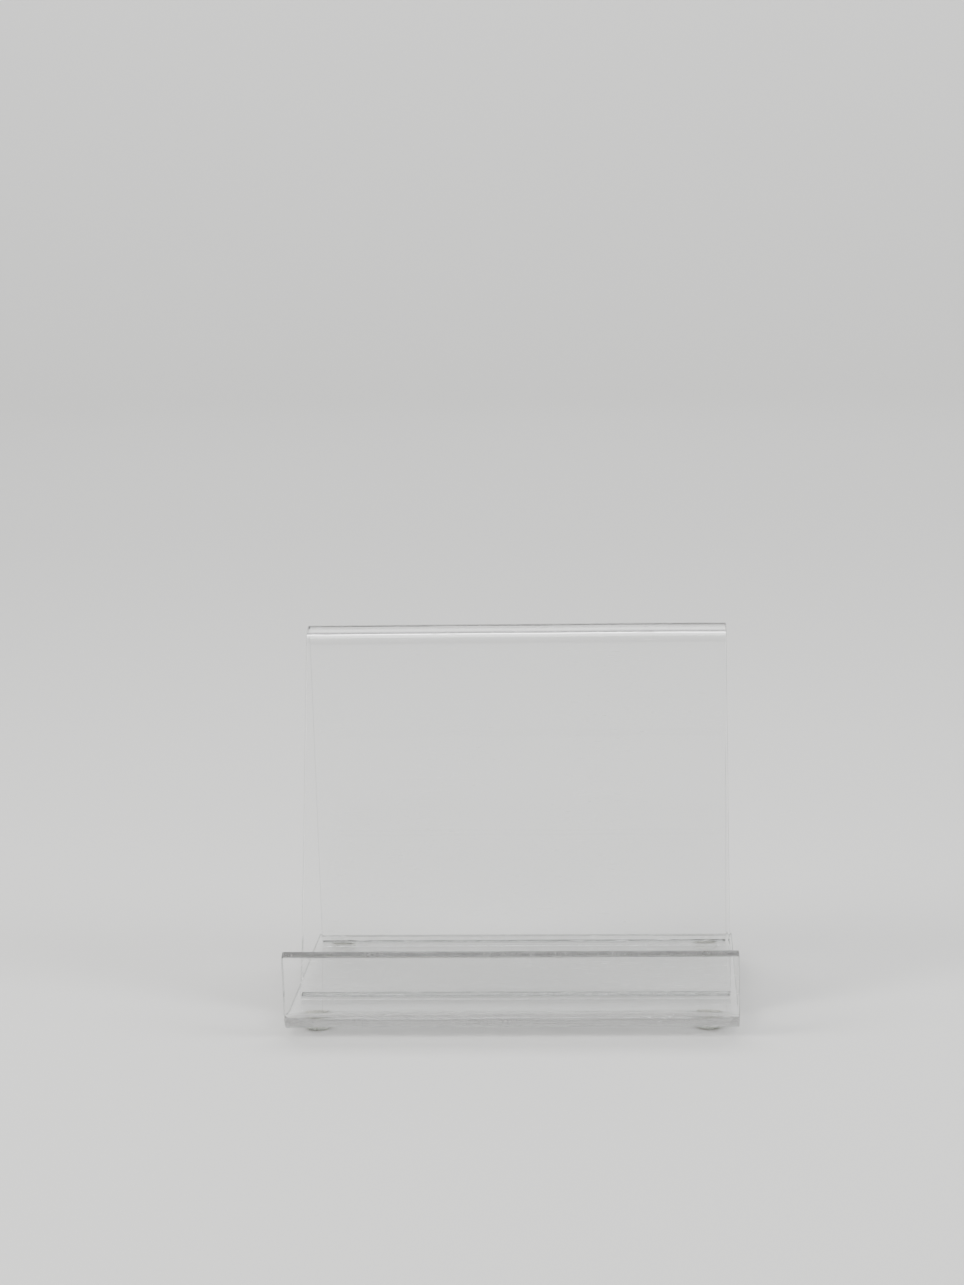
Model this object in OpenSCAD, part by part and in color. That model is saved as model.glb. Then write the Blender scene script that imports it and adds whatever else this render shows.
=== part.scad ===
// Clear acrylic display stand for a single plate or shallow dish.
//
// A heat-bent cradle carries the plate's rim in the trough behind its low front lip.
// A heat-bent easel, cemented on the cradle's base, takes the plate's back.
// Four stick-on bumpers keep the base off the table.
// +X is the stand's right seen from the front, +Y its back, +Z up.
// The origin is on the table, under the middle of the footprint.

/* [Cradle] */
// Width of the cradle sheet
cradle_w = 134; // [110:1:180]
// Overall depth of the stand, from the lip's front to the base's rear edge
stand_depth = 114; // [112:1:150]
// Thickness of the cradle sheet
cradle_t = 4; // [3:0.5:5]
// Height of the lip's top edge above the base's upper face
lip_h = 20.5; // [14:0.5:26]
// Forward lean of the lip from vertical
lip_lean = 13; // [4:1:15]
// Inner radius of the heat bend between the lip and the base
cradle_bend_r = 3.5; // [2.5:0.5:6]

/* [Easel] */
// Width of the easel sheet
easel_w = 130; // [70:1:180]
// Thickness of the easel sheet
easel_t = 3; // [2:0.5:3.5]
// Clear depth of the trough, from the lip's foot to the back rest
trough_d = 25; // [20:1:26]
// Height of the easel's crown above the base's upper face
easel_h = 106; // [80:1:108]
// Backward lean of the back rest from vertical
rest_lean = 21; // [16:1:22]
// Forward lean of the rear prop from vertical
prop_lean = 10; // [8:1:11]
// Inner radius of the heat bend at the easel's crown
crown_r = 5; // [4:0.5:5.5]

/* [Cement] */
// Thickness of the cement film between the easel and the base
film_t = 0.15; // [0.1:0.05:0.3]
// Width and height of the cement bead along the inner face of each foot of the easel
bead_leg = 1; // [0.6:0.1:1.5]
// Distance the cement stops short of the easel's side edges
bead_inset = 0.6; // [0.4:0.1:2]

/* [Feet] */
// Diameter of a bumper foot
foot_d = 8; // [6:0.5:10]
// Height of a bumper foot below its adhesive disc
foot_h = 1.8; // [1.5:0.1:3]
// Radius of the rounded lower edge of a bumper foot
foot_round = 1.2; // [0.8:0.1:1.4]
// Thickness of the adhesive disc above a bumper foot
disc_t = 0.2; // [0.1:0.05:0.4]
// Distance the adhesive disc stops short of the bumper's edge
disc_inset = 0.3; // [0.2:0.1:0.6]
// Distance of a foot's centre from the base's side edge
foot_inset_x = 9; // [7:0.5:14]
// Distance of a foot's centre from the lip's foot and from the base's rear edge
foot_inset_y = 9; // [7:0.5:14]

/* [Hidden] */
$fn = 96;

// Largest turn between two lines along a bend, in degrees
bend_step = 3;

// Heights of the base sheet's two faces above the table
base_low = foot_h + disc_t;
base_top = base_low + cradle_t;

// The lip's foot is the corner where its inner face meets the base's upper face
lip_foot_y = -stand_depth / 2 + lip_h * tan(lip_lean) + cradle_t * cos(lip_lean);
base_rear_y = stand_depth / 2;

// The easel's outer faces rise from its two feet and would meet at an apex above the crown
crown_outer_r = crown_r + easel_t;
crown_half = (rest_lean + prop_lean) / 2;
crown_skew = (rest_lean - prop_lean) / 2;
apex_to_crown = crown_outer_r / sin(crown_half);
apex_h = easel_h - crown_outer_r + apex_to_crown * cos(crown_skew);
rest_foot_y = lip_foot_y + trough_d;
apex_y = rest_foot_y + apex_h * tan(rest_lean);
crown_y = apex_y - apex_to_crown * sin(crown_skew);
prop_foot_y = apex_y + apex_h * tan(prop_lean);

foot_x = cradle_w / 2 - foot_inset_x;
foot_front_y = lip_foot_y + foot_inset_y;
foot_rear_y = base_rear_y - foot_inset_y;

clear_acrylic = [0.84, 0.91, 0.91, 0.45];
clear_cement = [0.93, 0.96, 0.95, 0.7];
clear_rubber = [0.86, 0.88, 0.87, 0.8];
adhesive = [0.78, 0.80, 0.76, 0.9];

// Extrudes an outline, drawn with Y across and Z up, to the given width, centred on X
module across(width) {
    translate([-width / 2, 0, 0])
        rotate([90, 0, 90])
            linear_extrude(height = width)
                children();
}

// Points on an arc about the origin, from one angle to another
function arc(r, from, to) =
    let (steps = ceil(abs(to - from) / bend_step))
    [for (i = [0:steps]) let (a = from + (to - from) * i / steps) r * [cos(a), sin(a)]];

// Outline of a sheet bent once about the origin. Its two legs leave the bend at angle_a and,
// anticlockwise of it, at angle_b, and each is measured from where the bend ends.
module bent_outline(angle_a, leg_a, angle_b, leg_b, inner_r, sheet_t) {
    bend_start = angle_a - 90;
    bend_end = angle_b - 270;
    outer = arc(inner_r + sheet_t, bend_start, bend_end);
    inner = arc(inner_r, bend_end, bend_start);
    along_a = leg_a * [cos(angle_a), sin(angle_a)];
    along_b = leg_b * [cos(angle_b), sin(angle_b)];
    polygon(concat(
        [outer[0] + along_a],
        outer,
        [outer[len(outer) - 1] + along_b, inner[0] + along_b],
        inner,
        [inner[len(inner) - 1] + along_a]
    ));
}

// Lip, heat bend and base: one sheet, bent once
module cradle() {
    corner_to_bend = cradle_bend_r * tan(45 - lip_lean / 2);
    color(clear_acrylic)
        across(cradle_w)
            translate([lip_foot_y + corner_to_bend, base_top + cradle_bend_r])
                bent_outline(0, base_rear_y - lip_foot_y - corner_to_bend,
                             90 + lip_lean, lip_h / cos(lip_lean) - corner_to_bend,
                             cradle_bend_r, cradle_t);
}

// Back rest, crown and rear prop: one sheet, bent once and cut level at its two feet
module easel() {
    leg = apex_h / cos(rest_lean);
    color(clear_acrylic)
        across(easel_w)
            intersection() {
                translate([crown_y, base_top + easel_h - crown_outer_r])
                    bent_outline(-90 - rest_lean, leg, -90 + prop_lean, leg, crown_r, easel_t);
                translate([lip_foot_y, base_top + film_t])
                    square([stand_depth, easel_h]);
            }
}

// Cement film under one foot of the easel, and the bead left along the foot's inner face, where
// the cement is run in. The outer face's foot is at Y 0 and the sheet leans towards +Y.
module cement(lean) {
    inner_y = easel_t / cos(lean);
    color(clear_cement)
        across(easel_w - 2 * bead_inset)
            polygon([
                [0, 0],
                [inner_y + bead_leg, 0],
                [inner_y + bead_leg * tan(lean), bead_leg],
                [inner_y + film_t * tan(lean), film_t],
                [film_t * tan(lean), film_t]
            ]);
}

module cement_rest() {
    translate([0, rest_foot_y, base_top])
        cement(rest_lean);
}

module cement_prop() {
    translate([0, prop_foot_y, base_top])
        mirror([0, 1, 0])
            cement(prop_lean);
}

// Stick-on bumper, flat above and rounded towards the table
module foot(x, y) {
    flat_r = foot_d / 2 - foot_round;
    color(clear_rubber)
        translate([x, y, 0])
            rotate_extrude()
                union() {
                    square([flat_r, foot_h]);
                    translate([0, foot_round])
                        square([foot_d / 2, foot_h - foot_round]);
                    intersection() {
                        translate([flat_r, foot_round])
                            circle(r = foot_round);
                        square([foot_d / 2, foot_round]);
                    }
                }
}

// Adhesive disc between a bumper and the base
module disc(x, y) {
    color(adhesive)
        translate([x, y, foot_h])
            cylinder(r = foot_d / 2 - disc_inset, h = disc_t);
}

cradle();
easel();
cement_rest();
cement_prop();
foot(-foot_x, foot_front_y);  // foot_front_left
foot(foot_x, foot_front_y);  // foot_front_right
foot(-foot_x, foot_rear_y);  // foot_rear_left
foot(foot_x, foot_rear_y);  // foot_rear_right
disc(-foot_x, foot_front_y);  // disc_front_left
disc(foot_x, foot_front_y);  // disc_front_right
disc(-foot_x, foot_rear_y);  // disc_rear_left
disc(foot_x, foot_rear_y);  // disc_rear_right
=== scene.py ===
"""Looks of the clear acrylic plate display stand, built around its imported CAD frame."""
import math
import random

import bmesh
import bpy
from mathutils import Matrix, Vector, noise


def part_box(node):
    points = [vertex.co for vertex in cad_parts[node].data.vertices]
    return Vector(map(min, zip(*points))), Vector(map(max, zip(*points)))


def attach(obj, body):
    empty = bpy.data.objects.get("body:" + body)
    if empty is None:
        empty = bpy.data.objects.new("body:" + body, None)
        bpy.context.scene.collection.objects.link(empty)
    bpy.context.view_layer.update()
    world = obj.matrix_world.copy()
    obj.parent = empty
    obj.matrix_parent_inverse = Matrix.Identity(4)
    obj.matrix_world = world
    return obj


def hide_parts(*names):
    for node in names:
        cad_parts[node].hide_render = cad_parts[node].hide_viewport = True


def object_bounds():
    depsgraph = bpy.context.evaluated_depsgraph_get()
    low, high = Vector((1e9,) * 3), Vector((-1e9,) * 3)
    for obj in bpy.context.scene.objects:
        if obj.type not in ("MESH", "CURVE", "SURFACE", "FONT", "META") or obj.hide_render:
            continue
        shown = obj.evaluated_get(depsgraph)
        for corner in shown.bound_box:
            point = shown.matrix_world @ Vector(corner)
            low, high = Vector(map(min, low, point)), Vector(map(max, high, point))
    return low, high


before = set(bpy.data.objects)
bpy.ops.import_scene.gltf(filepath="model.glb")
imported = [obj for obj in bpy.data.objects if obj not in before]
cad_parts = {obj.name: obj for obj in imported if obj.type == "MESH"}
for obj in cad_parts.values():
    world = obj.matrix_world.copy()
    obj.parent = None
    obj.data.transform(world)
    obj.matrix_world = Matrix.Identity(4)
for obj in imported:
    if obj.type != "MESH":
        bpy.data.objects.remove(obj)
cad_low, cad_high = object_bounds()

MM = 0.001
ROOT = "root"

# Driving dimensions of the two bent sheets
LIP_LEAN = math.radians(13)
REST_LEAN = math.radians(21)
PROP_LEAN = math.radians(10)
CRADLE_T = 4 * MM
EASEL_T = 3 * MM
CRADLE_BEND_R = 3.5 * MM
CROWN_R = 5 * MM
FILM_T = 0.15 * MM

# Rounding of a sheet's edges, and of the easel's level-cut feet
EDGE_R = 0.35 * MM
SAWN_R = 0.05 * MM
END_FADE = 3 * MM
EDGE_ANGLES = (45, 36, 27, 18, 9, 0)
EDGE_BEYOND = 1.7
EDGE_SLACK = 1.0001
SIDE_COLUMNS = (1.2 * MM, 2.2 * MM)
FEET_FADE = 8 * MM

# Largest steps of a sheet's lattice, on its flats and round its bends
FLAT_STEP = 3 * MM
BEND_STEP = math.radians(3)

# Errors of heat bending: how large they are, how far they reach and how long their waves are
SIDE_BULGE = 0.35 * MM
BULGE_REACH = 5 * MM
BULGE_INWARDS = 2.5 * MM
BULGE_WAVE = 9 * MM
BULGE_VARIES = 0.10
SIDES_APART = 3
SQUEEZE_SPAN = 1.2 * CRADLE_T
WEAVE = 0.09 * MM
WEAVE_WAVES = (26 * MM, 60 * MM)
RIPPLE = 0.012 * MM
RIPPLE_WAVES = (5 * MM, 11 * MM)
HEAT_REACH = 14 * MM
AWAY_WEAVE = 0.25
AWAY_RIPPLE = 0.15

# The cradle's bend: how its inner radius wanders across it and tightens at its two ends
BEND_WANDER = 0.45 * MM
BEND_WAVE = 22 * MM
BEND_SHIVER = 0.08 * MM
SHIVER_WAVE = 12 * MM
BEND_TIGHTER = 1.1 * MM
TIGHTER_REACH = 7 * MM

# How deep a cemented or stuck face is let into its neighbour, so that no two faces coincide
LET_IN = 0.02 * MM

# The cement: a concave bead, a film that stops short of the foot's outer face, and bubbles, whose
# radii are in millimetres
BEAD_LEG = 0.93 * MM
BEAD_SHARE = 0.62
BEAD_VARIES = 0.10
BEAD_WAVE = 24 * MM
BEAD_STEPS = 6
FILM_RECESS = 0.05 * MM
RECESS_WAVE = 15 * MM
CEMENT_SECTIONS = 120
BUBBLE_MARGIN = 2 * MM
FILM_BUBBLES = 26
FILM_BUBBLE_R = (0.08, 0.34)
FILM_BUBBLE_H = 0.36 * FILM_T
FILM_BUBBLE_INSET = (0.5 * MM, 0.3 * MM)
BEAD_BUBBLES = 18
BEAD_BUBBLE_R = (0.03, 0.085)
BEAD_BUBBLE_LONG = 1.4
BEAD_BUBBLE_PLACE = (0.22 * MM, 0.14 * MM)

# The bumpers: the fillet below, the small rim above, the drafted side, and how far the top lies
# under the CAD's
BUMPER_FILLET = 1.15 * MM
BUMPER_RIM = 0.12 * MM
RIM_INSET = 0.08 * MM
BUMPER_DRAFT = 0.03 * MM
DRAFT_FROM = 0.78
BUMPER_SINK = 0.01 * MM

# The hollow in a bumper's foot face, as shares of the radius, each with its height
FOOT_HOLLOW = ((0.52, 0.02 * MM), (0.30, 0.05 * MM), (0, 0.07 * MM))

# The adhesive's uneven rim and flat middle, and the air trapped in it, with radii in millimetres
DISC_UNEVEN = 0.012
DISC_FLAT = 0.6
DISC_BUBBLES = 11
DISC_BUBBLE_R = (0.08, 0.42)
DISC_BUBBLE_H = 0.3
BUBBLE_REACH = 0.85
LATHE_STEPS = 72

# How far apart two seeds lie in the noise
SEED_STEP = (17.3, 5.1, 9.7)

# How nearly along X a quad has to look to stay flat-shaded
ALONG_X = 0.9

# Scratches on a polished face, in sets: turn, length, width and how rare they are. Then how
# softly they start, how rough they are and how deep any material's relief is.
SCRATCHES = (
    ((0.3, 0.2, 0.5), 6 * MM, 0.22 * MM, 0.74),
    ((0.1, 0.6, 1.9), 4 * MM, 0.20 * MM, 0.74),
    ((0.8, 0.1, -0.7), 8 * MM, 0.20 * MM, 0.75),
)
SCRATCH_START = 0.05
SCRATCH_ROUGH = 0.45
RELIEF = 0.03 * MM
RUBBER_RELIEF = 0.02 * MM

# Saw lines on an edge: their size along X, Y and Z
SAW_LINES = (0.45 * MM, 0.9 * MM, 9 * MM)

# How light crosses each clear material
ACRYLIC_IOR = 1.49
CEMENT_IOR = 1.48
RUBBER_IOR = 1.50
ADHESIVE_IOR = 1.47
MATCHED_IOR = 1.0
LIGHT_BOUNCES = 32

# The photograph's camera, solved from the lip's and the base's edges. Its place is in millimetres.
CAMERA_PLACE = (44.8, -1040.3, 262.3)
CAMERA_PITCH = math.radians(8.34)
CAMERA_YAW = math.radians(-2.99)
CAMERA_ROLL = math.radians(0.89)
CAMERA_LENS = 97.27
SENSOR_WIDTH = 36

# The studio's floor and the wall that it curves up into, in metres
FLOOR_RINGS = (0.3, 1.0)
FLOOR_R = 2.4
COVE_R = 0.9
COVE_STEPS = 16
WALL_H = 1.5
FLOOR_STEPS = 96
FLOOR_PALE = (0.66, 0.66, 0.65)
FLOOR_DEEP = (0.64, 0.64, 0.63)
FLOOR_PATCH = 0.5
# The wall's colour, paler than the floor: painted light that makes up for the weaker lamplight up the wall
PAINTED_LIGHT_WALL_COLOUR = (0.93, 0.93, 0.92, 1)

# Colours of the lights, the point of the wall that one of them faces, and the light all round
WARM, COOL, WHITE = (1.0, 0.985, 0.96), (0.97, 0.985, 1.0), (1.0, 1.0, 1.0)
WALL_AIM = (0.0, 3.2, 0.5)
SURROUND_COLOUR = (0.825, 0.825, 0.825, 1)
SURROUND_STRENGTH = 0.85

cradle_low, cradle_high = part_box("cradle")
easel_low, easel_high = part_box("easel")
base_top = cradle_low.z + CRADLE_T


# ---------------------------------------------------------------- bent sheets

class Profile:
    """The middle line of a bent sheet in the YZ plane. Each leg is a length and an anticlockwise turn."""

    def __init__(self, start, heading, legs):
        self.legs = []
        self.length = 0.0
        point, angle = Vector(start), heading
        for length, turn in legs:
            self.legs.append((self.length, length, turn, point, angle))
            point, angle = self.step(point, angle, length, turn, length)
            self.length += length

    @staticmethod
    def step(point, angle, length, turn, distance):
        """The point and heading a distance along one leg."""
        if not turn:
            return point + distance * Vector((math.cos(angle), math.sin(angle))), angle
        radius = length / turn
        end = angle + distance / radius
        swing = Vector((math.sin(end) - math.sin(angle), math.cos(angle) - math.cos(end)))
        return point + radius * swing, end

    def at(self, distance):
        """The point and heading a distance along the line, which runs straight on past its ends."""
        leg = next((g for g in reversed(self.legs) if distance >= g[0]), self.legs[0])
        begun, length, turn, point, angle = leg
        return self.step(point, angle, length, turn, distance - begun)

    def shares(self):
        """Where each row of vertices lies, as a leg and a share of it, the same for all columns."""
        rows = []
        for number, (_, length, turn, _, _) in enumerate(self.legs):
            count = math.ceil(abs(turn) / BEND_STEP if turn else length / FLAT_STEP)
            rows += [(number, i / count) for i in range(count)]
        return rows[1:]

    def distance(self, leg, share):
        """How far along the line a share of one leg lies."""
        return self.legs[leg][0] + self.legs[leg][1] * share


def edge_marks(edge_r):
    """Distances from an edge at which vertices lie: evenly round it, then one just beyond."""
    round_part = [edge_r * (1 - math.tan(math.radians(angle))) for angle in EDGE_ANGLES]
    return round_part + [EDGE_BEYOND * edge_r]


def side_stations(width):
    """Places across a sheet, close together at its edges."""
    marks = edge_marks(EDGE_R) + list(SIDE_COLUMNS)
    inner = width - 2 * marks[-1]
    count = math.ceil(inner / FLAT_STEP)
    middle = [-inner / 2 + inner * i / count for i in range(1, count)]
    return [m - width / 2 for m in marks] + middle + [width / 2 - m for m in reversed(marks)]


def row_distances(profile, rows):
    """Distances along one column of a sheet, from one rounded end to the other."""
    marks = edge_marks(EDGE_R)
    middle = [profile.distance(*row) for row in rows]
    return marks + middle + [profile.length - m for m in reversed(marks)]


def rounded(point, half, end_r):
    """Moves a point of a box's surface onto the same box with rounded edges. Their radius falls
    to end_r towards the box's two ends along its length."""
    to_end = (half.x - abs(point.x)) / END_FADE
    radius = end_r + (EDGE_R - end_r) * min(1.0, to_end)
    core = Vector(max(-h + radius, min(h - radius, c)) for c, h in zip(point, half))
    out = point - core
    inside = out.length <= radius * EDGE_SLACK
    return point if inside else core + out.normalized() * radius


def surface_quads(counts):
    """The quads on the six sides of a lattice, as lattice points, each with its material's place:
    0 on the two broad faces, 1 along the side edges and 2 across the ends."""
    rows, columns, layers = (c - 1 for c in counts)
    for i in range(rows):
        for j in range(columns):
            yield [(i, j, layers), (i, j + 1, layers), (i + 1, j + 1, layers), (i + 1, j, layers)], 0
            yield [(i, j, 0), (i + 1, j, 0), (i + 1, j + 1, 0), (i, j + 1, 0)], 0
    for i in range(rows):
        for k in range(layers):
            yield [(i, 0, k), (i, 0, k + 1), (i + 1, 0, k + 1), (i + 1, 0, k)], 1
            yield [(i, columns, k), (i + 1, columns, k), (i + 1, columns, k + 1), (i, columns, k + 1)], 1
    for j in range(columns):
        for k in range(layers):
            yield [(0, j, k), (0, j + 1, k), (0, j + 1, k + 1), (0, j, k + 1)], 2
            yield [(rows, j, k), (rows, j, k + 1), (rows, j + 1, k + 1), (rows, j + 1, k)], 2


def bent_sheet(name, width, thickness, end_r, profile_at, shape, materials):
    """A closed sheet with rounded edges. profile_at gives each column's middle line, and shape
    moves a point (along, across, out) by the small errors of heat bending."""
    rows = profile_at(0).shares()
    across = side_stations(width)
    layers = [m - thickness / 2 for m in edge_marks(EDGE_R)]
    layers += [-m for m in reversed(layers)]
    mesh = bmesh.new()
    made = {}
    for j, x in enumerate(across):
        profile = profile_at(x)
        half = Vector((profile.length, width, thickness)) / 2
        along = row_distances(profile, rows)
        for i, distance in enumerate(along):
            for k, out in enumerate(layers):
                if 0 < k < len(layers) - 1 and 0 < j < len(across) - 1 and 0 < i < len(along) - 1:
                    continue
                p = rounded(Vector((distance - half.x, x, out)), half, end_r)
                p.x += half.x
                p = shape(p, profile)
                (y, z), angle = profile.at(p.x)
                y -= p.z * math.sin(angle)
                z += p.z * math.cos(angle)
                made[i, j, k] = mesh.verts.new((p.y, y, z))
    for corners, part in surface_quads((len(along), len(across), len(layers))):
        face = mesh.faces.new([made[c] for c in corners])
        face.material_index = part
    return finished(name, mesh, materials)


def finished(name, mesh, materials):
    """Turns a bmesh into a smooth-shaded piece that rides on the stand."""
    bmesh.ops.recalc_face_normals(mesh, faces=mesh.faces)
    for face in mesh.faces:
        face.smooth = True
    return placed(name, mesh, materials)


def placed(name, mesh, materials):
    """Puts a bmesh in the scene as a piece that rides on the stand."""
    data = bpy.data.meshes.new(name)
    mesh.to_mesh(data)
    mesh.free()
    for material in materials:
        data.materials.append(material)
    piece = bpy.data.objects.new(name, data)
    bpy.context.scene.collection.objects.link(piece)
    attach(piece, ROOT)
    return piece


def wander(seed, *place):
    """Smooth noise between about -1 and 1 at a place given in its own wavelengths."""
    place = list(place) + [0.0] * (3 - len(place))
    return noise.noise(Vector(place) + Vector([step * seed for step in SEED_STEP]))


def bump_at(distance, reach):
    """1 at distance 0, falling to nothing beyond about twice the reach."""
    return math.exp(-((distance / reach) ** 2))


def heat_shape(width, bend_leg, inset, seed):
    """The waviness of a hand-bent sheet. It is gathered at the bend, whose ends also bulge.
    inset is 1 or -1 along the sheet's out direction, away from the CAD outline, or 0."""

    def shape(p, profile):
        bend_middle = profile.distance(bend_leg, 0.5)
        near = bump_at(p.x - bend_middle, HEAT_REACH)
        at_side = bump_at(width / 2 - abs(p.y), BULGE_INWARDS)
        side = math.copysign(1.0, p.y)
        squeezed = -math.copysign(1.0, profile.legs[bend_leg][2]) * p.z
        share = 0.5 - squeezed / SQUEEZE_SPAN
        bulge = SIDE_BULGE * bump_at(p.x - bend_middle, BULGE_REACH) * share
        bulge -= SIDE_BULGE * (1 + BULGE_VARIES * wander(seed, p.x / BULGE_WAVE, side * SIDES_APART))
        weave_across, weave_along = WEAVE_WAVES
        weave = WEAVE * (AWAY_WEAVE + near) * wander(seed + 1, p.y / weave_across, p.x / weave_along)
        weave += inset * WEAVE * (AWAY_WEAVE + near)
        ripple_along, ripple_across = RIPPLE_WAVES
        ripple = RIPPLE * (AWAY_RIPPLE + near) * wander(seed + 2, p.x / ripple_along, p.y / ripple_across)
        return Vector((
            p.x,
            p.y + side * bulge * at_side - (1 - at_side) * p.y / width * 2 * SIDE_BULGE,
            p.z + weave + math.copysign(ripple, p.z),
        ))

    return shape


def cradle_profile(x):
    """The cradle's middle line at x: down the lip, round the bend and back along the base."""
    half = (cradle_high.x - cradle_low.x) / 2
    wave = BEND_WANDER * wander(3, x / BEND_WAVE) + BEND_SHIVER * wander(4, x / SHIVER_WAVE)
    inner_r = CRADLE_BEND_R + wave - BEND_TIGHTER * bump_at(half - abs(x), TIGHTER_REACH)
    lip_h = cradle_high.z - base_top
    lip_foot_y = cradle_low.y + lip_h * math.tan(LIP_LEAN) + CRADLE_T * math.cos(LIP_LEAN)
    corner = inner_r * math.tan(math.pi / 4 - LIP_LEAN / 2)
    turn = math.pi / 2 - LIP_LEAN
    inward = Vector((math.cos(LIP_LEAN), math.sin(LIP_LEAN)))
    lip_top = Vector((lip_foot_y - lip_h * math.tan(LIP_LEAN), cradle_high.z))
    return Profile(lip_top - inward * CRADLE_T / 2, LIP_LEAN - math.pi / 2, [
        (lip_h / math.cos(LIP_LEAN) - corner, 0),
        ((inner_r + CRADLE_T / 2) * turn, turn),
        (cradle_high.y - lip_foot_y - corner, 0),
    ])


def easel_profile(x):
    """The easel's middle line, the same at every x: up the back rest, over the crown and down the
    prop."""
    middle_r = CROWN_R + EASEL_T / 2
    outer_r = CROWN_R + EASEL_T
    front, rear = (easel_low.y, easel_low.z), (easel_high.y, easel_low.z)
    out_front = Vector((-math.cos(REST_LEAN), math.sin(REST_LEAN)))
    out_rear = Vector((math.cos(PROP_LEAN), math.sin(PROP_LEAN)))
    gap_front = Vector(front).dot(out_front) - outer_r
    gap_rear = Vector(rear).dot(out_rear) - outer_r
    lines = Matrix((out_front, out_rear))
    centre = lines.inverted() @ Vector((gap_front, gap_rear))
    foot = Vector(front) + Vector((EASEL_T / 2 / math.cos(REST_LEAN), 0))
    toe = Vector(rear) - Vector((EASEL_T / 2 / math.cos(PROP_LEAN), 0))
    turn = math.pi - REST_LEAN - PROP_LEAN
    return Profile(foot, math.pi / 2 - REST_LEAN, [
        ((centre + out_front * middle_r - foot).length, 0),
        (middle_r * turn, -turn),
        ((centre + out_rear * middle_r - toe).length, 0),
    ])


def level_feet(shape):
    """Adds to a sheet's shape the level cut of its two ends."""

    def cut(p, profile):
        p = shape(p, profile)
        at_start = max(0.0, 1 - p.x / FEET_FADE)
        at_end = max(0.0, 1 - (profile.length - p.x) / FEET_FADE)
        p.x += p.z * (math.tan(PROP_LEAN) * at_end - math.tan(REST_LEAN) * at_start)
        return p

    return cut


# ---------------------------------------------------------------- cement, bumpers and discs

def swept(mesh, sections, inner_side):
    """Joins closed sections of equal length into a capped solid. The side that starts at the
    sections' point inner_side takes the second material."""
    rings = [[mesh.verts.new(p) for p in section] for section in sections]
    count = len(rings[0])
    for a, b in zip(rings, rings[1:]):
        for i in range(count):
            face = mesh.faces.new((a[i], a[(i + 1) % count], b[(i + 1) % count], b[i]))
            face.material_index = int(i == inner_side)
    mesh.faces.new(rings[0])
    mesh.faces.new(rings[-1])


def bubble(mesh, centre, radii):
    """A closed void inside a solid, as a small flattened ball whose faces look inwards."""
    matrix = Matrix.Translation(centre) @ Matrix.Diagonal((*radii, 1))
    ball = bmesh.ops.create_icosphere(mesh, subdivisions=2, radius=1, matrix=matrix)
    return [face for vert in ball["verts"] for face in vert.link_faces]


def turn_in(mesh, faces):
    """Turns a void's faces to look inwards, once all outer faces look outwards."""
    bmesh.ops.reverse_faces(mesh, faces=list(dict.fromkeys(faces)))


def cement_outline(x, lean, seed):
    """The cement's section at x: distances inwards from the foot's outer face, and heights above
    the base."""
    inner = EASEL_T / math.cos(lean)
    film_top = FILM_T + LET_IN
    opening = math.pi / 2 - lean
    leg = BEAD_LEG * (BEAD_SHARE + BEAD_VARIES * wander(seed, x / BEAD_WAVE))
    radius = leg * math.tan(opening / 2)
    recess = FILM_RECESS * (1 + wander(seed + 1, x / RECESS_WAVE))
    angles = [-math.pi / 2 - (math.pi - opening) * step / BEAD_STEPS for step in range(BEAD_STEPS + 1)]
    arc = [Vector((inner + leg + radius * math.cos(a), radius + radius * math.sin(a))) for a in angles]
    tucked = Vector((inner + film_top * math.tan(lean) - LET_IN, film_top))
    outline = [Vector((recess, -LET_IN)), Vector((inner + leg, -LET_IN)), *arc]
    return outline + [arc[-1] - Vector((LET_IN, 0)), tucked, Vector((recess, film_top))]


def cement_bubbles(mesh, low, high, at_foot, inner, seed):
    """Air in the film and in the bead. at_foot turns a distance inwards from the foot's outer face
    into Y, and inner is the distance of its inner face."""
    from_outer, from_inner = FILM_BUBBLE_INSET
    beside, above = BEAD_BUBBLE_PLACE
    draw = random.Random(seed)
    voids = []
    for _ in range(FILM_BUBBLES):
        x = draw.uniform(low.x + BUBBLE_MARGIN, high.x - BUBBLE_MARGIN)
        y = at_foot(draw.uniform(from_outer, inner - from_inner))
        size = draw.uniform(*FILM_BUBBLE_R) * MM
        radii = (size, size * draw.uniform(0.5, 1), FILM_BUBBLE_H)
        voids += bubble(mesh, (x, y, base_top + FILM_T / 2), radii)
    for _ in range(BEAD_BUBBLES):
        x = draw.uniform(low.x + BUBBLE_MARGIN, high.x - BUBBLE_MARGIN)
        size = draw.uniform(*BEAD_BUBBLE_R) * MM
        centre = (x, at_foot(inner + beside), base_top + above)
        voids += bubble(mesh, centre, (size * BEAD_BUBBLE_LONG, size, size))
    return voids


def cement_joint(name, node, foot_y, inwards, lean, materials, seed):
    """The cement film under one foot of the easel, with the concave bead along its inner face.
    foot_y is where the foot's outer face meets the base, and inwards is 1 or -1 along Y."""
    low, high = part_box(node)

    def at_foot(distance):
        return foot_y + inwards * distance

    sections = []
    for i in range(CEMENT_SECTIONS + 1):
        x = low.x + (high.x - low.x) * i / CEMENT_SECTIONS
        outline = cement_outline(x, lean, seed)
        sections.append([(x, at_foot(v), base_top + w) for v, w in outline])
    against_easel = len(outline) - 2
    mesh = bmesh.new()
    swept(mesh, sections, against_easel)
    bmesh.ops.recalc_face_normals(mesh, faces=mesh.faces)
    voids = cement_bubbles(mesh, low, high, at_foot, EASEL_T / math.cos(lean), seed)
    piece = with_voids(name, mesh, voids, materials)
    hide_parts(node)
    return piece


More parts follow.
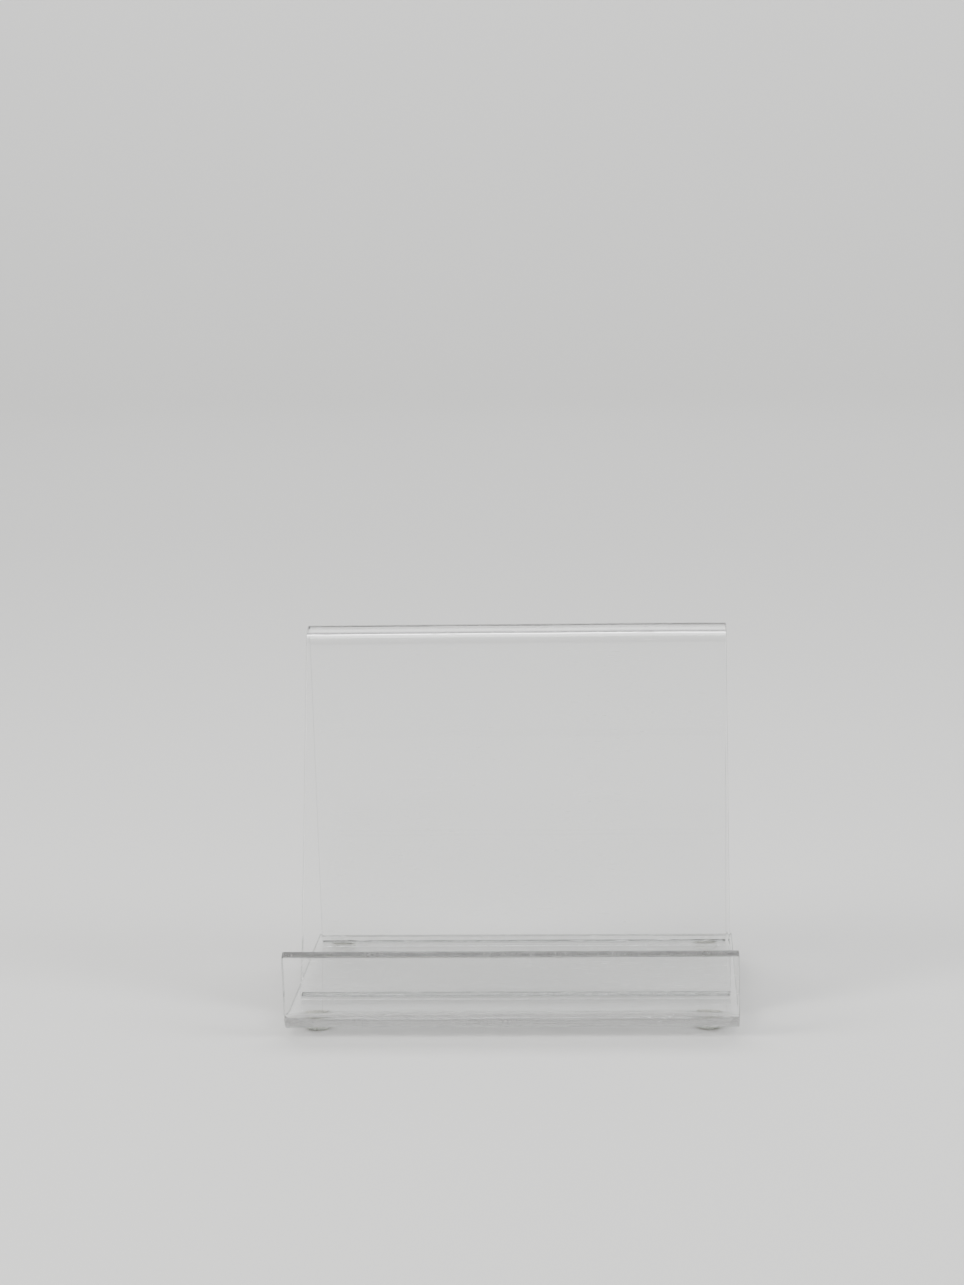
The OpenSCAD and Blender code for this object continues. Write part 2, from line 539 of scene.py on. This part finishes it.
def with_voids(name, mesh, voids, materials):
    """A piece whose voids' faces look inwards. Its quads and larger faces that look along X, which
    the cement's two ends are, aren't smooth-shaded."""
    mesh.normal_update()
    turn_in(mesh, voids)
    for face in mesh.faces:
        face.smooth = len(face.verts) == 3 or abs(face.normal.x) < ALONG_X
    return placed(name, mesh, materials)


def lathed(mesh, centre, outline, uneven=None):
    """A solid of revolution about a vertical line. outline is (radius, height) from axis to axis."""
    steps = LATHE_STEPS
    rings = []
    for radius, height in outline[1:-1]:
        ring = []
        for i in range(steps):
            angle = 2 * math.pi * i / steps
            r = radius * (1 + (uneven(angle) if uneven else 0))
            out = Vector((r * math.cos(angle), r * math.sin(angle), height))
            ring.append(mesh.verts.new(centre + out))
        rings.append(ring)
    for a, b in zip(rings, rings[1:]):
        for i in range(steps):
            mesh.faces.new((a[i], a[(i + 1) % steps], b[(i + 1) % steps], b[i]))
    for ring, height in ((rings[0], outline[0][1]), (rings[-1], outline[-1][1])):
        middle = mesh.verts.new(centre + Vector((0, 0, height)))
        for i in range(steps):
            mesh.faces.new((middle, ring[i], ring[(i + 1) % steps]))


def arc_points(centre_r, centre_z, radius, start, end, count):
    """Points of an arc in a lathe outline, from one angle in degrees to another."""
    angles = [math.radians(start + (end - start) * i / count) for i in range(count + 1)]
    return [(centre_r + radius * math.cos(a), centre_z + radius * math.sin(a)) for a in angles]


def bumper(corner, materials):
    """A moulded bumper: drafted side, rounded lower edge, and a slightly hollow foot face."""
    node = f"foot_{corner}"
    low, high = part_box(node)
    radius, height = (high.x - low.x) / 2, high.z - low.z
    centre = Vector(((low.x + high.x) / 2, (low.y + high.y) / 2, low.z))
    fillet, rim = BUMPER_FILLET, BUMPER_RIM
    top = height - BUMPER_SINK
    outline = [(0, top), (radius * 0.5, top)]
    outline += arc_points(radius - RIM_INSET - rim, top - rim, rim, start=90, end=0, count=4)
    outline += [(radius - BUMPER_DRAFT, height * DRAFT_FROM)]
    outline += arc_points(radius - fillet, fillet, fillet, start=0, end=-90, count=10)
    outline += [(radius * share, hollow) for share, hollow in FOOT_HOLLOW]
    mesh = bmesh.new()
    lathed(mesh, centre, outline)
    piece = finished(f"bumper_{corner}", mesh, materials)
    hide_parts(node)
    return piece


def adhesive_disc(corner, materials, seed):
    """The adhesive between a bumper and the base: an uneven rim, and air trapped inside."""
    node = f"disc_{corner}"
    low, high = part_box(node)
    radius, height = (high.x - low.x) / 2, high.z - low.z
    centre = Vector(((low.x + high.x) / 2, (low.y + high.y) / 2, low.z))
    rim = height / 2
    outline = [(0, -LET_IN), (radius * DISC_FLAT, -LET_IN)]
    outline += arc_points(radius - rim, rim, rim, start=-80, end=80, count=6)
    outline += [(radius * DISC_FLAT, height + LET_IN), (0, height + LET_IN)]

    def uneven(angle):
        return DISC_UNEVEN * (wander(seed, 2 * math.cos(angle), 2 * math.sin(angle)) - 1)

    mesh = bmesh.new()
    lathed(mesh, centre, outline, uneven)
    bmesh.ops.recalc_face_normals(mesh, faces=mesh.faces)
    draw = random.Random(seed)
    voids = []
    for _ in range(DISC_BUBBLES):
        angle = draw.uniform(0, 2 * math.pi)
        reach = radius * BUBBLE_REACH * math.sqrt(draw.random())
        size = draw.uniform(*DISC_BUBBLE_R) * MM
        place = centre + Vector((reach * math.cos(angle), reach * math.sin(angle), height / 2))
        voids += bubble(mesh, place, (size, size * draw.uniform(0.6, 1), height * DISC_BUBBLE_H))
    piece = with_voids(f"adhesive_{corner}", mesh, voids, materials)
    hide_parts(node)
    return piece


# ---------------------------------------------------------------- materials

def new_material(name):
    """A material with its Principled shader and its object coordinates."""
    material = bpy.data.materials.new(name)
    material.use_nodes = True
    nodes = material.node_tree.nodes
    shader = nodes["Principled BSDF"]
    place = nodes.new("ShaderNodeTexCoord").outputs["Object"]
    return material, shader, place


def add(material, kind, inputs=None, **settings):
    """A new node with its settings, and its inputs linked or set."""
    tree = material.node_tree
    node = tree.nodes.new(kind)
    for key, value in settings.items():
        setattr(node, key, value)
    for key, value in (inputs or {}).items():
        if isinstance(value, bpy.types.NodeSocket):
            tree.links.new(value, node.inputs[key])
        else:
            node.inputs[key].default_value = value
    return node


def link(material, source, target):
    """Links two sockets of a material."""
    material.node_tree.links.new(source, target)


def streaks(material, place, turn, along, across, least):
    """A mask of fine straight scratches, each about along by across metres, turned as asked."""
    turned = add(material, "ShaderNodeMapping", {
        "Vector": place, "Rotation": turn, "Scale": (1 / along, 1 / across, 1 / across),
    })
    field = add(material, "ShaderNodeTexNoise", {
        "Vector": turned.outputs[0], "Scale": 1.0, "Detail": 1.0, "Roughness": 0.4,
    })
    return spread(material, field.outputs["Fac"], (least, least + SCRATCH_START), (0, 1))


def spread(material, value, source, target):
    """Maps a value's range, source, onto the range target, and holds it there."""
    node = add(material, "ShaderNodeMapRange", {
        "Value": value, "From Min": source[0], "From Max": source[1],
        "To Min": target[0], "To Max": target[1],
    })
    return node.outputs["Result"]


def calc(material, operation, a, b):
    """The result of one sum on two sockets or numbers."""
    return add(material, "ShaderNodeMath", {0: a, 1: b}, operation=operation).outputs[0]


def cloud(material, place, size, detail=2.0):
    """Soft noise whose patches are about size metres."""
    field = add(material, "ShaderNodeTexNoise", {
        "Vector": place, "Scale": 1 / size, "Detail": detail, "Roughness": 0.5,
    })
    return field.outputs["Fac"]


def tint(material, place, size, pale, deep):
    """A colour that drifts between two close ones over patches of about size metres."""
    mixed = add(material, "ShaderNodeMix", {
        "Factor": cloud(material, place, size), "A": (*pale, 1), "B": (*deep, 1),
    }, data_type="RGBA")
    return mixed.outputs["Result"]


def clear(shader, ior, share=1.0):
    """Makes a share of the shader see-through."""
    shader.inputs["IOR"].default_value = ior
    shader.inputs["Transmission Weight"].default_value = share


def body_colour(material, colour, density):
    """A colour that shows along the piece's thickness. Only for a piece of a single material: light
    that enters by one material and leaves by another would go on being absorbed outside."""
    volume = add(material, "ShaderNodeVolumeAbsorption", {"Color": (*colour, 1), "Density": density})
    output = material.node_tree.nodes["Material Output"]
    link(material, volume.outputs[0], output.inputs["Volume"])


def surface(material, shader, rough, colour, height, strength, depth):
    """Links a shader's roughness and colour, and a relief of the given strength and depth."""
    link(material, rough, shader.inputs["Roughness"])
    link(material, colour, shader.inputs["Base Color"])
    bump = add(material, "ShaderNodeBump", {"Height": height, "Strength": strength, "Distance": depth})
    link(material, bump.outputs["Normal"], shader.inputs["Normal"])


def acrylic_face():
    """A polished acrylic face: hairline scratches, polishing haze and a trace of unevenness."""
    material, shader, place = new_material("acrylic_face")
    clear(shader, ACRYLIC_IOR)
    scratches, *others = [streaks(material, place, *scratch_set) for scratch_set in SCRATCHES]
    for other in others:
        scratches = calc(material, "MAXIMUM", scratches, other)
    handled = spread(material, cloud(material, place, 34 * MM), (0.42, 0.62), (0.2, 1))
    scratches = calc(material, "MULTIPLY", scratches, handled)
    haze = spread(material, cloud(material, place, 22 * MM), (0.45, 0.75), (0.010, 0.026))
    rough = calc(material, "ADD", haze, calc(material, "MULTIPLY", scratches, SCRATCH_ROUGH))
    colour = tint(material, place, 40 * MM, (0.998, 0.999, 0.999), (0.990, 0.994, 0.993))
    uneven = calc(material, "MULTIPLY", cloud(material, place, 14 * MM), 0.3)
    height = calc(material, "SUBTRACT", uneven, scratches)
    surface(material, shader, rough, colour, height, strength=0.35, depth=RELIEF)
    return material


def acrylic_edge_painted_shade():
    """A sawn, flame-polished edge, satin with faint saw lines left across its thickness. Its dark grey is
    painted shade.
    """
    material, shader, place = new_material("acrylic_edge_painted_shade")
    clear(shader, ACRYLIC_IOR, share=0.97)
    sawn = add(material, "ShaderNodeMapping", {"Vector": place, "Scale": [1 / size for size in SAW_LINES]})
    lines = add(material, "ShaderNodeTexNoise", {
        "Vector": sawn.outputs[0], "Scale": 1.0, "Detail": 2.0, "Roughness": 0.6,
    }).outputs["Fac"]
    patches = spread(material, cloud(material, place, 9 * MM), (0.35, 0.7), (0.10, 0.26))
    rough = calc(material, "ADD", patches, spread(material, lines, (0.45, 0.75), (0, 0.12)))
    # Painted shade: this dark grey darkens the cut edges, which on clear acrylic only the light and the
    # view darken
    colour = tint(material, place, 12 * MM, (0.21, 0.21, 0.208), (0.17, 0.17, 0.168))
    surface(material, shader, rough, colour, lines, strength=0.35, depth=RELIEF)
    return material


def acrylic_joined():
    """Faces inside a cemented joint, where acrylic meets cement of nearly the same refraction: light
    goes straight on, past faint flow marks."""
    material, shader, place = new_material("acrylic_joined")
    clear(shader, MATCHED_IOR)
    shader.inputs["Roughness"].default_value = 0.02
    colour = tint(material, place, 2.5 * MM, (0.995, 0.998, 0.997), (0.965, 0.978, 0.975))
    link(material, colour, shader.inputs["Base Color"])
    return material


def dried_cement():
    """Dried acrylic cement: clear and glossy, with a wrinkled skin."""
    material, shader, place = new_material("cement_clear")
    clear(shader, CEMENT_IOR)
    skin = cloud(material, place, 1.6 * MM)
    rough = spread(material, skin, (0.35, 0.7), (0.03, 0.22))
    colour = tint(material, place, 5 * MM, (0.97, 0.98, 0.975), (0.91, 0.94, 0.93))
    surface(material, shader, rough, colour, skin, strength=0.3, depth=RELIEF)
    return material


def cloudy_rubber():
    """Clear polyurethane that has gone slightly cloudy, with a finely grained moulded skin."""
    material, shader, place = new_material("bumper_polyurethane")
    clear(shader, RUBBER_IOR, share=0.78)
    body_colour(material, (0.84, 0.86, 0.82), 60.0)
    grain = cloud(material, place, 0.16 * MM, 3.0)
    worn = spread(material, cloud(material, place, 2.4 * MM), (0.35, 0.7), (0.16, 0.34))
    rough = calc(material, "ADD", worn, spread(material, grain, (0.4, 0.7), (0, 0.08)))
    colour = tint(material, place, 3 * MM, (0.93, 0.94, 0.91), (0.83, 0.85, 0.80))
    surface(material, shader, rough, colour, grain, strength=0.3, depth=RUBBER_RELIEF)
    return material


def tape_adhesive():
    """Clear pressure-sensitive adhesive, faintly yellow and mottled."""
    material, shader, place = new_material("adhesive_clear")
    clear(shader, ADHESIVE_IOR, share=0.9)
    body_colour(material, (0.92, 0.89, 0.74), 200.0)
    mottle = cloud(material, place, 0.6 * MM, 4.0)
    rough = spread(material, mottle, (0.35, 0.7), (0.10, 0.38))
    colour = tint(material, place, 1.5 * MM, (0.93, 0.92, 0.84), (0.85, 0.84, 0.74))
    surface(material, shader, rough, colour, mottle, strength=0.3, depth=RELIEF)
    return material


# ---------------------------------------------------------------- studio

def studio_camera():
    """The photograph's viewpoint: nearly in front, a metre away and looking slightly down."""
    pitch, yaw, roll = CAMERA_PITCH, CAMERA_YAW, CAMERA_ROLL
    ahead = Vector((math.sin(yaw) * math.cos(pitch), math.cos(yaw) * math.cos(pitch), -math.sin(pitch)))
    level = Vector((math.cos(yaw), -math.sin(yaw), 0))
    above = level.cross(ahead)
    right = math.cos(roll) * level - math.sin(roll) * above
    up = math.sin(roll) * level + math.cos(roll) * above
    data = bpy.data.cameras.new("camera")
    data.sensor_width = SENSOR_WIDTH
    data.lens = CAMERA_LENS
    camera = bpy.data.objects.new("camera", data)
    bpy.context.scene.collection.objects.link(camera)
    camera.matrix_world = Matrix((right, up, -ahead)).transposed().to_4x4()
    camera.location = Vector(CAMERA_PLACE) * MM
    bpy.context.scene.camera = camera


def softbox(name, place, aim, size, power, colour):
    """A rectangular studio light at a place, turned to its aim. Its size is in metres, its power
    in watts."""
    data = bpy.data.lights.new(name, "AREA")
    data.shape = "RECTANGLE"
    data.size, data.size_y = size
    data.energy = power
    data.color = colour
    light = bpy.data.objects.new(name, data)
    bpy.context.scene.collection.objects.link(light)
    light.location = place
    light.rotation_mode = "QUATERNION"
    light.rotation_quaternion = (Vector(aim) - Vector(place)).to_track_quat("-Z", "Y")


def studio_lights():
    """Softboxes at both sides and above, one turned to the backdrop, and a pale surround."""
    aim = (cad_low + cad_high) / 2
    softbox("left_box", (-1.05, -0.55, 0.75), aim, (0.55, 0.9), 18, WARM)
    softbox("right_box", (1.10, -0.45, 0.70), aim, (0.5, 0.9), 14, COOL)
    softbox("top_box", (0.0, 0.45, 1.35), aim, (1.3, 0.7), 14, WHITE)
    softbox("backdrop_box", (0.0, 1.5, 1.7), WALL_AIM, (2.4, 0.6), 30, WHITE)
    world = bpy.data.worlds.new("surround")
    world.use_nodes = True
    background = world.node_tree.nodes["Background"]
    background.inputs["Color"].default_value = SURROUND_COLOUR
    background.inputs["Strength"].default_value = SURROUND_STRENGTH
    bpy.context.scene.world = world


def light_paths():
    """Lets light cross the stand's many clear faces before it is lost."""
    paths = bpy.context.scene.cycles
    paths.max_bounces = LIGHT_BOUNCES
    paths.glossy_bounces = LIGHT_BOUNCES
    paths.transmission_bounces = LIGHT_BOUNCES


def floor_mesh():
    """A disc that curves up into a wall all round."""
    outline = [(ring, 0.0) for ring in FLOOR_RINGS]
    outline += arc_points(FLOOR_R, COVE_R, COVE_R, start=-90, end=0, count=COVE_STEPS)
    outline += [(FLOOR_R + COVE_R, COVE_R + WALL_H)]
    steps = FLOOR_STEPS
    turns = [2 * math.pi * i / steps for i in range(steps)]
    mesh = bmesh.new()
    rings = [[mesh.verts.new((r * math.cos(a), r * math.sin(a), z)) for a in turns] for r, z in outline]
    middle = mesh.verts.new((0, 0, 0))
    for i in range(steps):
        mesh.faces.new((middle, rings[0][i], rings[0][(i + 1) % steps]))
        for a, b in zip(rings, rings[1:]):
            mesh.faces.new((a[i], b[i], b[(i + 1) % steps], a[(i + 1) % steps]))
    for face in mesh.faces:
        face.smooth = True
    data = bpy.data.meshes.new("floor")
    mesh.to_mesh(data)
    mesh.free()
    return data


def floor_material():
    """Matt grey under the stand, which grows paler up the wall: painted light, standing in for the lamps'
    light that falls off there.
    """
    material, shader, place = new_material("pale_floor")
    height = add(material, "ShaderNodeSeparateXYZ", {"Vector": place}).outputs["Z"]
    # Painted light: the colour grows paler with height, as the lamps' light grows weaker up the wall
    mixed = add(material, "ShaderNodeMix", {
        "Factor": spread(material, height, (0.0, COVE_R), (0, 1)),
        "A": tint(material, place, FLOOR_PATCH, FLOOR_PALE, FLOOR_DEEP),
        "B": PAINTED_LIGHT_WALL_COLOUR,
    }, data_type="RGBA")
    link(material, mixed.outputs["Result"], shader.inputs["Base Color"])
    shader.inputs["Roughness"].default_value = 0.75
    return material


def studio_floor():
    """A plain pale floor and the wall that it curves up into, well beyond the lights."""
    data = floor_mesh()
    data.materials.append(floor_material())
    floor = bpy.data.objects.new("floor", data)
    bpy.context.scene.collection.objects.link(floor)
    floor.location.z = cad_low.z - LET_IN


# ---------------------------------------------------------------- the stand

def build_stand():
    """All pieces of the stand, each in place of its CAD node."""
    face, edge, joined = acrylic_face(), acrylic_edge_painted_shade(), acrylic_joined()
    width = cradle_high.x - cradle_low.x
    cradle = bent_sheet("cradle_sheet", width, CRADLE_T, EDGE_R, cradle_profile,
                        heat_shape(width, 1, 0, 11), [face, edge, edge])
    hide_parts("cradle")
    width = easel_high.x - easel_low.x
    easel = bent_sheet("easel_sheet", width, EASEL_T, SAWN_R, easel_profile,
                       level_feet(heat_shape(width, 1, -1, 21)), [face, edge, joined])
    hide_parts("easel")

    cement = [dried_cement(), joined]
    rest_low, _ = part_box("cement_rest")
    _, prop_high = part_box("cement_prop")
    cement_joint("cement_joint_rest", "cement_rest", rest_low.y, 1, REST_LEAN, cement, 31)
    cement_joint("cement_joint_prop", "cement_prop", prop_high.y, -1, PROP_LEAN, cement, 41)

    rubber, adhesive = [cloudy_rubber()], [tape_adhesive()]
    for seed, corner in enumerate(("front_left", "front_right", "rear_left", "rear_right"), 51):
        bumper(corner, rubber)
        adhesive_disc(corner, adhesive, seed)


studio_camera()
studio_lights()
studio_floor()
light_paths()
build_stand()
